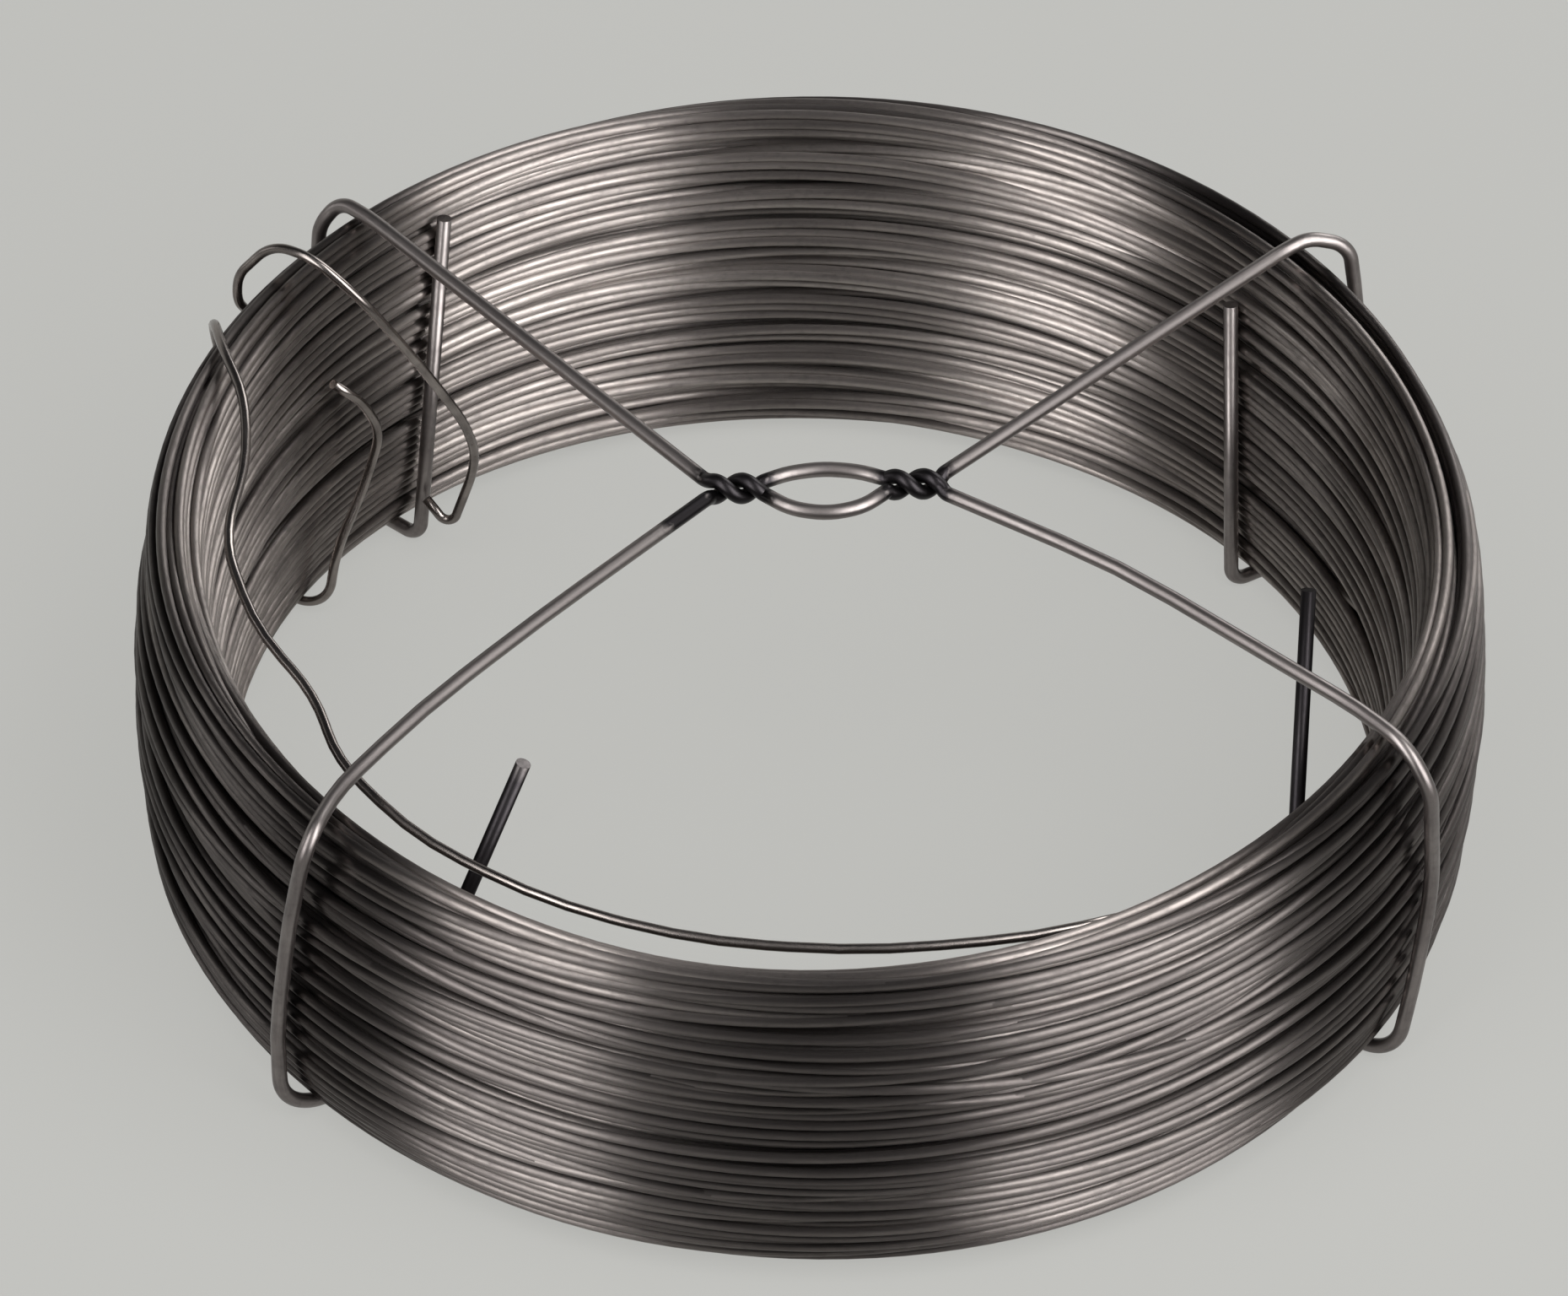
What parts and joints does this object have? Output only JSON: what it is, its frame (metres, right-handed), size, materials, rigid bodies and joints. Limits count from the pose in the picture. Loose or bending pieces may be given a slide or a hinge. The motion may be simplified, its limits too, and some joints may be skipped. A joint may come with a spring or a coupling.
{
  "type": "coil of galvanized wire",
  "caption": "Round coil of thin galvanized steel wire lying on its end, held by two thicker bent wires twisted together over its bore.",
  "frame": {"origin": "on the floor, at the middle of the coil's outline", "axes": "+Z is the coil's axis, pointing up from the end that it lies on; +Y points away from the side with the two loose, leaning tips"},
  "size_m": [0.1598, 0.1598, 0.0528],
  "materials": {
    "galvanized_wire": "dull galvanized steel wire, drawn, with grey and brown streaks",
    "clip_wire": "dull galvanized steel wire, nearly black where two wires are twisted together"
  },
  "bodies": {
    "root": {"coil": "galvanized_wire", "outer_end": "galvanized_wire", "inner_end": "galvanized_wire", "clip_wire_a": "clip_wire", "clip_wire_b": "clip_wire"}
  },
  "joints": []
}
